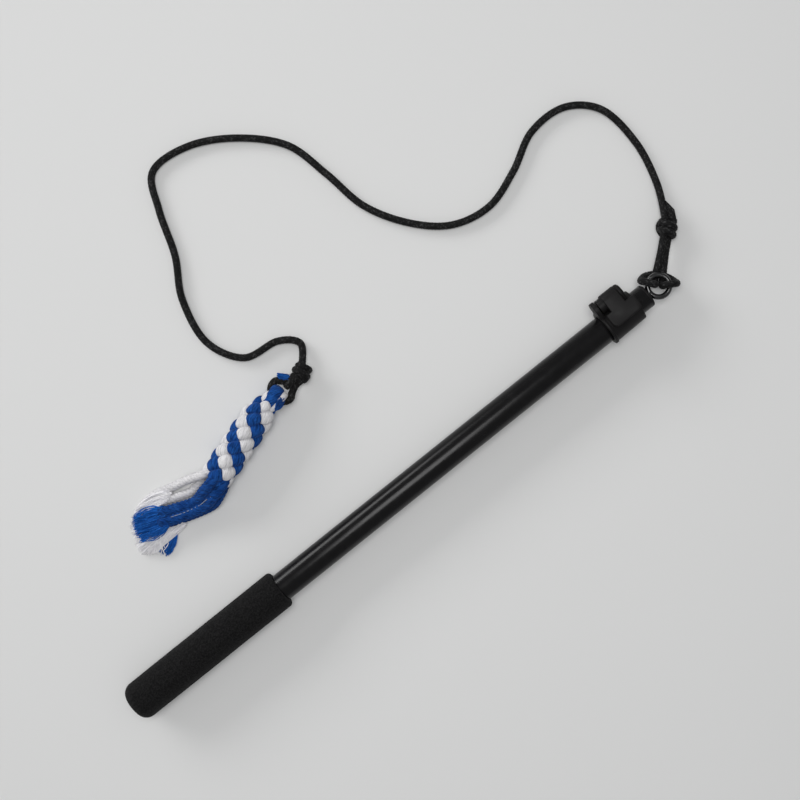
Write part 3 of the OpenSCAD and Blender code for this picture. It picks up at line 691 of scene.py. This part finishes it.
# loose strands below the braid, each a three-ply twist
# the blue tails take the darker copy of the blue cotton: painted shade
twist = {"deep": 3.9, "plies": 3, "lay": 11.5, "groove": 0.26, "taper": {"white": 9, "blue": 4},
         "finish": {"white": "white", "blue": "blueTailPaintedShade"}, "around": 40, "step": 0.5 * mm}
tails = {
    "tailWhiteOne": {"node": "toy_tail_white_1", "look": "white", "wide": 3.9, "route": [
        (-8, -7, 17), (2.5, -10.5, 19), (9, -15.5, 15), (18, -21.5, 8.5), (31, -29.5, 4.4), (46, -40, 4.1)]},
    "tailWhiteTwo": {"node": "toy_tail_white_2", "look": "white", "wide": 3.9, "route": [
        (-8, -7, 11.5), (2, -9.5, 10), (14, -10.5, 5.8), (24, -13, 4.1), (42, -26.5, 4.1), (50, -33.5, 4.1)]},
    "tailWhiteThree": {"node": "toy_tail_white_3", "look": "white", "wide": 3.8, "route": [
        (-8, 4, 8), (0.4, 5, 4.9), (14, 4.5, 4.1), (28.8, -2, 4.1), (45.3, -14.2, 4.1), (57, -23.4, 4.2)]},
    "tailBlueOne": {"node": "toy_tail_blue_1", "look": "blue", "wide": 5.2, "route": [
        (-8, -0.5, 23.5), (2, -0.1, 25.6), (14, -1.6, 20.3), (27.3, -3.6, 12.4), (43.4, -15.6, 11.6),
        (54, -24, 11)]},
    "tailBlueTwo": {"node": "toy_tail_blue_2", "look": "blue", "wide": 5.5, "route": [
        (-8, 6, 19.5), (1, 8.6, 21), (14, 7.6, 19.4), (25, 5.6, 14), (40, -3.4, 11.6), (59.1, -17.4, 11.2),
        (60.6, -18.3, 11.1)]},
    "tailBlueThree": {"node": "toy_tail_blue_3", "look": "blue", "wide": 4.2, "route": [
        (-8, 7.5, 13.3), (1.2, 10.5, 13), (14, 12, 11), (24, 10, 5.4), (41.8, -1.3, 4.2), (61, -15.9, 4.2)]},
}
for name, tail in tails.items():
    look = tail["look"]
    tail["line"] = smoothLine(belowBraid(tail["route"]), twist["step"])
    section = cottonSection(tail["wide"], twist["deep"], twist["plies"], twist["lay"], twist["groove"],
                            taper=twist["taper"][look])
    mesh = ropeMesh(name, tail["line"], twist["around"], section)
    tail["piece"] = onLine(mesh, name, twist["finish"][look], [tail["node"]])


# frayed ends: many thin yarns fanned out from where the twist opens
def alongEdge(spots, share):
    spots = np.array(spots, float)
    at = np.linspace(0, 1, len(spots))
    return np.array([np.interp(share, at, spots[:, axis]) for axis in range(2)])


def frayed(name, fan):
    yarn = {"radius": 0.42 * mm, "thinner": 0.06, "points": 8, "wobble": 0.18, "arch": 0.8, "lowest": 0.55,
            "tone": (0.12, 0.7), "uneven": 0.12, "scatter": 0.8}
    low, high = fan["heights"]
    endLow, endTop = fan.get("endLow", 0.6), fan.get("endTop", high * 0.8)
    curve = bpy.data.curves.new(name, "CURVE")
    curve.dimensions = "3D"
    curve.bevel_depth = yarn["radius"]
    curve.bevel_resolution = 0
    curve.use_fill_caps = True
    tones = []
    for i in range(fan["yarns"]):
        share = (i + dice.random()) / fan["yarns"]
        head, foot = alongEdge(fan["from"], share), alongEdge(fan["to"], share)
        longer = 1 + yarn["uneven"] * (dice.random() - 0.75)
        foot = head + (foot - head) * longer + dice.normal(0, yarn["scatter"], 2)
        sway = np.interp(share, (0, 1), fan.get("bow", (0, 0))) + dice.normal(0, fan.get("curl", 1.4))
        heading = (foot - head) / np.linalg.norm(foot - head)
        aside = np.array([-heading[1], heading[0]])
        head = head + heading * dice.uniform(-1, 1) * fan.get("stagger", 1.5)
        startHeight = low + (high - low) * dice.random()
        endHeight = endLow + (endTop - endLow) * dice.random()
        spots = []
        for u in np.linspace(0, 1, yarn["points"]):
            bulge = math.sin(math.pi * u)
            flat = head + (foot - head) * u + aside * (sway * bulge + dice.normal(0, yarn["wobble"]))
            height = startHeight + (endHeight - startHeight) * u + yarn["arch"] * bulge
            spots.append((*flat, max(yarn["lowest"], height)))
        spline = curve.splines.new("POLY")
        spline.points.add(len(spots) - 1)
        for k, (point, place) in enumerate(zip(spline.points, belowBraid(spots))):
            point.co = (*place, 1)
            point.radius = 1 - yarn["thinner"] * k
        tones.append(yarn["tone"][0] + yarn["tone"][1] * dice.random())
    loose = placed(name, curve)
    mesh = finalMesh(loose)
    bpy.data.objects.remove(loose)
    perYarn = len(mesh.vertices) // fan["yarns"]
    layer = mesh.attributes.new("lift", "FLOAT", "POINT")
    layer.data.foreach_set("value", np.repeat(tones, perYarn).astype(np.float32))
    corner = np.zeros(len(mesh.loops), np.int32)
    mesh.loops.foreach_get("vertex_index", corner)
    spread = np.stack([corner // perYarn * 0.37, corner % perYarn / perYarn], axis=1)
    mesh.uv_layers.new(name="ropeUv").data.foreach_set("uv", spread.astype(np.float32).ravel())
    # the frayed yarns take the brightened copy of their cotton, painted light, unless the fan names a finish
    return onLine(mesh, name, fan.get("finish", fan["look"] + "FrayPaintedLight"), sharp=60)


frays = {
    "frayWhiteUpper": {
        "of": "tailWhiteOne", "look": "white", "yarns": 290, "heights": (1, 8.8), "endTop": 6, "stagger": 3,
        "curl": 1.1, "bow": (-2.8, -0.4), "from": [(33, -30), (35, -26), (42, -25), (48, -27.5)],
        "to": [(56, -42.5), (62.5, -42.5), (67, -41.3), (70.5, -39)]},
    "frayBlueBrush": {
        "of": "tailBlueOne", "look": "blue", "yarns": 300, "heights": (4, 14.5), "endTop": 10.5, "curl": 2.2,
        "from": [(47, -25), (51, -19), (56, -14), (58, -10)],
        "to": [(68, -41.5), (75, -36.5), (79, -30.5), (83.5, -22.5)]},
    "frayWhiteLower": {
        "of": "tailWhiteThree", "look": "white", "yarns": 230, "heights": (0.8, 5.5), "endTop": 5,
        "from": [(52, -23), (56, -16), (56, -7)],
        "to": [(74, -42.5), (80, -37), (85.5, -29.5), (89.5, -22.5), (92, -15.5), (85, -6)]},
    "frayWhiteStrip": {
        "of": "tailWhiteThree", "look": "white", "yarns": 44, "heights": (1, 6.5), "curl": 0.7,
        "from": [(46, -2), (50, 1.5)], "to": [(80, -16), (84, -7)]},
    "frayBlueTuft": {
        "of": "tailBlueThree", "look": "blue", "yarns": 80, "heights": (0.8, 3.2), "curl": 1,
        "from": [(59, -5), (60.5, -1.2)], "to": [(83, -5), (81, 2), (77, 3)]},
    "frayBlueSprig": {
        "look": "blue", "yarns": 34, "heights": (13, 16.4), "endLow": 11, "endTop": 16, "curl": 1.2,
        "from": [(-107, -6.5), (-104.5, -4.5)], "to": [(-110.5, 2.5), (-107.5, 4)]},
    "frayBlueStub": {
        "look": "blue", "yarns": 70, "heights": (20.5, 23.5), "endLow": 19.5, "endTop": 23.8, "curl": 0.9,
        "finish": "blue", "from": [(-81.8, 8.8), (-80, 11)],
        "to": [(-89.6, 7.2), (-91.2, 10.6), (-86.8, 13)]},
    "frayWhiteStray": {
        "of": "tailWhiteThree", "look": "white", "yarns": 9, "heights": (3.6, 6.5), "endLow": 3.6,
        "endTop": 5.5, "curl": 2.2, "from": [(66, -15), (69, -11)], "to": [(85, -7), (83, -1), (77, -1.5)]},
}
thread = {"wide": 0.31, "deep": 0.29, "around": 12, "route": [
    (12, 7.4, 23.3), (19, 4.4, 20.6), (26, 2.3, 16.8), (31, -0.4, 15.5), (36, -3.4, 15.2),
    (41, -6.6, 14.9), (46, -10.4, 14.8), (51, -14.2, 14.5)]}
threadLine = smoothLine(belowBraid(thread["route"]), twist["step"])
section = cottonSection(thread["wide"], thread["deep"], plies=3, lay=4, depth=0.2)
threadMesh = ropeMesh("whiteThread", threadLine, thread["around"], section)
tails["tailWhiteThree"]["frays"] = [onLine(threadMesh, "whiteThread", "thread")]
for name, fan in frays.items():
    fan["piece"] = frayed(name, fan)
    if "of" in fan:
        tails[fan["of"]].setdefault("frays", []).append(fan["piece"])
print("tails and frayed ends laid")


# pole pieces that are turned round the pole's own line
def turnedShape(profile, steps=96, edge=0.3, segments=2):
    shape = bmesh.new()
    ring = [shape.verts.new((x * mm, r * mm, 0)) for x, r in profile]
    edges = [shape.edges.new(pair) for pair in zip(ring, ring[1:])]
    if profile[-1][1] > 0:
        edges.append(shape.edges.new((ring[-1], ring[0])))
    bmesh.ops.spin(shape, geom=ring + edges, cent=(0, 0, 0), axis=(1, 0, 0), angle=tau, steps=steps,
                   use_merge=True)
    bmesh.ops.remove_doubles(shape, verts=shape.verts, dist=0.001 * mm)
    bmesh.ops.recalc_face_normals(shape, faces=shape.faces)
    if edge:
        rounded(shape, creases(shape, math.radians(40)), edge, segments)
    return shape


def cornerArc(x, r, size, first, last, count):
    arc = [polar(size, degrees) for degrees in np.linspace(first, last, count)]
    return [(x + forward, r + out) for forward, out in arc]


grip = {"butt": -82, "front": 82, "radius": 17.5, "buttFlat": 4.5, "buttRound": 9, "frontRound": 3,
        "bore": 12.53, "end": 8, "straight": (-70, 76, 60), "wave": 0.16, "ripples": (61, 23), "outside": 15}
butt, front, thick, bore = grip["butt"], grip["front"], grip["radius"], grip["bore"]
buttRound, frontRound, boreEnd = grip["buttRound"], grip["frontRound"], grip["butt"] + grip["end"]
outer = [(butt, 0), (butt, grip["buttFlat"])]
outer += cornerArc(butt + buttRound, thick - buttRound, buttRound, 180, 90, 10)
outer += [(x, thick) for x in np.linspace(*grip["straight"])]
outer += cornerArc(front - frontRound, thick - frontRound, frontRound, 90, 0, 6)
outer += [(front, bore), (boreEnd, bore), (boreEnd, 0)]
sleeve = turnedShape(outer, edge=0)
shortWave, longWave = grip["ripples"]
for vert in sleeve.verts:
    across = Vector((0, vert.co.y, vert.co.z))
    if across.length > grip["outside"] * mm:
        around = math.atan2(vert.co.y, vert.co.z)
        wave = math.sin(vert.co.x * shortWave) + math.sin(vert.co.x * longWave + 2 * around)
        vert.co -= across.normalized() * grip["wave"] * mm * (0.5 + 0.25 * wave)
gripFoam = settle(meshOf(sleeve, "gripFoam"), "gripFoam", "foam", "handle", ["foam_grip"], sharp=50)

tubes = {"outerTube": {"from": -72, "to": 453, "radius": 12.5, "body": "handle", "node": "outer_tube"},
         "innerTube": {"from": 152.72, "to": 488, "radius": 11, "body": "extension", "node": "inner_tube"}}
for name, tube in tubes.items():
    start, end, radius = tube["from"], tube["to"], tube["radius"]
    shape = turnedShape([(start, radius - 1), (start, radius), (end, radius), (end, radius - 1)])
    settle(meshOf(shape, name), name, "tube", tube["body"], [tube["node"]])
print("grip and tubes turned")


# cuts or joins shapes that have been made as meshes of their own
def combined(name, base, tools):
    piece = placed(name, base)
    helpers = []
    for operation, mesh in tools:
        helper = placed(mesh.name, mesh)
        helpers.append(helper)
        step = piece.modifiers.new(operation, "BOOLEAN")
        step.operation = operation
        step.object = helper
        step.solver = "EXACT"
    mesh = finalMesh(piece)
    for thing in [piece, *helpers]:
        bpy.data.objects.remove(thing)
    return mesh


def roundBar(name, start, end, radius, centre=(0, 0), edge=0.0, segments=64):
    shape = roundStock(radius, end - start, segments)
    bmesh.ops.transform(shape, verts=shape.verts, matrix=Matrix.Translation(
        ((start + end) / 2 * mm, centre[0] * mm, centre[1] * mm)) @ Matrix.Rotation(math.pi / 2, 4, "Y"))
    if edge:
        rounded(shape, creases(shape), edge)
    return meshOf(shape, name)


# clamp collar: a turned body, two lugs for the pin, and a window that the cam reaches through
clamp = {"pin": (17.6495, 10.72), "pinHole": (440, 476, 1.8), "lugRadius": 7.8, "lugWidth": 4,
         "lugEdge": 0.5, "rearLug": (443, 0.5), "frontLug": (469, 2.4), "base": 12.75,
         "window": (453.3, 469, 9.7), "neckRoom": (447, 453.6, 7.2), "rivet": (1.62, 8),
         "rivetAt": (448.7, -15),
         "body": [(443, 12.52), (443, 16.42), (445.5, 16.42), (445.5, 15.42), (477, 14.72), (477, 11.06),
                  (453.02, 11.06), (453.02, 12.52)]}
pinY, pinZ = clamp["pin"]


def lugShape(name, start, frontEdge):
    reach = math.hypot(pinY, pinZ)
    outward = Vector((0, pinY / reach, pinZ / reach))
    beside = Vector((0, -outward.z, outward.y))
    pin = Vector((start, pinY, pinZ)) * mm
    shape = bmesh.new()
    first = shape.verts.new(pin - beside * clamp["lugRadius"] * mm)
    bmesh.ops.spin(shape, geom=[first], cent=pin, axis=(1, 0, 0), angle=math.pi, steps=24)
    shape.verts.ensure_lookup_table()
    last = shape.verts[-1]
    back = outward * (reach - clamp["base"]) * mm
    lower, upper = shape.verts.new(first.co - back), shape.verts.new(last.co - back)
    for pair in ((last, upper), (upper, lower), (lower, first)):
        shape.edges.new(pair)
    outline = bmesh.ops.edgeloop_fill(shape, edges=shape.edges[:])["faces"]
    pulled(shape, outline, (clamp["lugWidth"] * mm, 0, 0))
    rims = [edge for edge in creases(shape) if spanOf(edge, 0) < 0.1 * mm]
    middle = (start + clamp["lugWidth"] / 2) * mm
    rear = [edge for edge in rims if edge.verts[0].co.x <= middle]
    front = [edge for edge in rims if edge.verts[0].co.x > middle]
    rounded(shape, rear, clamp["lugEdge"])
    rounded(shape, [edge for edge in front if edge.is_valid], frontEdge, 5)
    return meshOf(shape, name)


collarBody = turnedShape(clamp["body"], steps=120, edge=0.5, segments=3)
rivetCut = roundStock(*clamp["rivet"], segments=32)
rivetX, rivetZ = clamp["rivetAt"]
bmesh.ops.translate(rivetCut, verts=rivetCut.verts, vec=(rivetX * mm, 0, rivetZ * mm))
collarMesh = combined("clampCollar", meshOf(collarBody, "clampCollar"), [
    ("UNION", lugShape("rearLug", *clamp["rearLug"])),
    ("UNION", lugShape("frontLug", *clamp["frontLug"])),
    ("DIFFERENCE", roundBar("camWindow", *clamp["window"], clamp["pin"])),
    ("DIFFERENCE", roundBar("neckRoom", *clamp["neckRoom"], clamp["pin"])),
    ("DIFFERENCE", roundBar("pinHole", *clamp["pinHole"], clamp["pin"])),
    ("DIFFERENCE", meshOf(rivetCut, "rivetCut"))])
settle(collarMesh, "clampCollar", "plastic", "handle", ["clamp_collar"], sharp=32)

# flip lever: hub with its cam lobe, flat plate, and a rolled lip along the free edge
lever = {"hub": (453.6, 468.7, 8.2), "neck": (447.9, 456, 6.9), "camLift": 1.2, "camInset": 0.1,
         "plate": (447.9, 477.9), "free": -4.9, "wing": 8.85, "top": 18.92, "thick": 3, "corner": 5,
         "wingCorner": 1, "rim": 0.7, "lip": 1.9, "lipInset": 4.2, "pinRadius": 1.81}
hubStart, hubEnd, hubRadius = lever["hub"]
plateStart, plateEnd = lever["plate"]
freeY, wingY = lever["free"], lever["wing"]
outline = [(plateStart, freeY), (plateEnd, freeY), (plateEnd, wingY), (hubEnd, wingY), (hubEnd, pinY),
           (hubStart, pinY), (hubStart, wingY), (plateStart, wingY)]
plate = bmesh.new()
plateZ = (lever["top"] - lever["thick"]) * mm
base = plate.faces.new([plate.verts.new((x * mm, y * mm, plateZ)) for x, y in outline])
pulled(plate, [base], (0, 0, lever["thick"] * mm))
upright = [edge for edge in plate.edges if spanOf(edge, 2) > 1 * mm]
free = [edge for edge in upright if edge.verts[0].co.y < freeY * mm + 0.1 * mm]
wing = [edge for edge in upright if abs(edge.verts[0].co.y - wingY * mm) < 0.1 * mm
        and not hubStart * mm - 1 * mm <= edge.verts[0].co.x <= hubEnd * mm + 1 * mm]
rounded(plate, free, lever["corner"], 8)
rounded(plate, [edge for edge in wing if edge.is_valid], lever["wingCorner"], 4)
rounded(plate, [edge for edge in creases(plate) if spanOf(edge, 2) < 0.1 * mm], lever["rim"])
pinAngle = math.atan2(pinZ, pinY)
camCentre = (pinY - lever["camLift"] * math.cos(pinAngle), pinZ - lever["camLift"] * math.sin(pinAngle))
camStart, camEnd = hubStart + lever["camInset"], hubEnd - lever["camInset"]
lipCentre = (freeY + lever["lip"], lever["top"] - lever["lip"])
lipStart, lipEnd = plateStart + lever["lipInset"], plateEnd - lever["lipInset"]
leverMesh = combined("clampLever", meshOf(plate, "clampLever"), [
    ("UNION", roundBar("leverHub", hubStart, hubEnd, hubRadius, clamp["pin"], edge=0.6, segments=72)),
    ("UNION", roundBar("leverNeck", *lever["neck"], clamp["pin"], edge=0.4, segments=72)),
    ("UNION", roundBar("leverCam", camStart, camEnd, hubRadius, camCentre, edge=0.5, segments=72)),
    ("UNION", roundBar("leverLip", lipStart, lipEnd, lever["lip"], lipCentre, edge=0.6, segments=32)),
    ("DIFFERENCE", roundBar("leverPinHole", plateStart - 2, hubEnd + 2, lever["pinRadius"], clamp["pin"]))])
settle(leverMesh, "clampLever", "plastic", "lever", ["clamp_lever"], sharp=32)
print("clamp built")

# tip: cap pressed into the nose, and the eye bolt through it
cap = {"edge": 0.15, "profile": [
    (466, 7), (466, 9.98), (488.02, 9.98), (488.02, 10.98), *cornerArc(488.5, 9, 2, 90, 0, 7),
    (490.5, 2.52), (482.5, 2.52), (482.5, 7)]}
capMesh = meshOf(turnedShape(cap["profile"], edge=cap["edge"]), "tipCap")
settle(capMesh, "tipCap", "plastic", "extension", ["tip_cap"])

eye = {"ring": 9.65, "wire": 2.4, "shank": (476, 493.6, 2.5)}
ring = bmesh.new()
bmesh.ops.create_circle(ring, segments=32, radius=eye["wire"] * mm)
bmesh.ops.rotate(ring, verts=ring.verts, cent=(0, 0, 0), matrix=Matrix.Rotation(math.pi / 2, 3, "X"))
bmesh.ops.translate(ring, verts=ring.verts, vec=Vector(eyeCentre) + Vector((eye["ring"] * mm, 0, 0)))
bmesh.ops.spin(ring, geom=ring.verts[:] + ring.edges[:], cent=Vector(eyeCentre), axis=(0, 0, 1), angle=tau,
               steps=96, use_merge=True)
bmesh.ops.recalc_face_normals(ring, faces=ring.faces)
eyeMesh = combined("tipEye", meshOf(ring, "tipEye"), [
    ("UNION", roundBar("eyeShank", *eye["shank"], edge=0.4, segments=48))])
settle(eyeMesh, "tipEye", "eye", "extension", ["tip_eye"], sharp=60)

# CAD nodes that keep their shape take these finishes
kept = {"butt_plug": "hiddenPlastic", "rear_bush": "guide", "collar_rivet": "darkRivet",
        "tip_rivet": "darkRivet", "lever_pin": "pinSteel", "eye_washer": "zinc", "eye_nut": "zinc"}
for node, look in kept.items():
    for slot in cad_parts[node].material_slots:
        slot.material = looks[look]
print("tip and small fittings done")

# floor and light
studio = {"floor": (0.72, 0.72, 0.715), "floorRough": 0.85, "floorHalf": 4, "middle": (0.25, 0.15),
          "sky": (0.93, 0.94, 0.95, 1), "skyStrength": 0.33, "target": (0.25, 0.1, 0)}
floorShape = bmesh.new()
bmesh.ops.create_grid(floorShape, x_segments=1, y_segments=1, size=studio["floorHalf"])
bmesh.ops.translate(floorShape, verts=floorShape.verts, vec=(*studio["middle"], floorZ))
paleFloor = placed("paleFloor", meshOf(floorShape, "paleFloor"))
paleFloor.data.materials.append(newLook("paleFloor", studio["floor"], studio["floorRough"], {})[0])

scene.world = bpy.data.worlds.new("studio")
scene.world.use_nodes = True
background = scene.world.node_tree.nodes["Background"]
background.inputs["Color"].default_value = studio["sky"]
background.inputs["Strength"].default_value = studio["skyStrength"]

softBoxes = {"sideBox": {"place": (-0.6, 2.9, 1.2), "size": (2.7, 0.95), "power": 9.6, "spread": 70},
             "topBox": {"place": (0.3, 0.25, 2.2), "size": (1, 1), "power": 22.5, "spread": 180}}
for name, box in softBoxes.items():
    light = bpy.data.lights.new(name, "AREA")
    light.shape = "RECTANGLE"
    light.size, light.size_y = box["size"]
    light.energy = box["power"]
    light.spread = math.radians(box["spread"])
    lamp = placed(name, light)
    lamp.location = box["place"]
    aim = Vector(studio["target"]) - Vector(box["place"])
    lamp.rotation_euler = aim.to_track_quat("-Z", "Y").to_euler()
print("floor and light set")
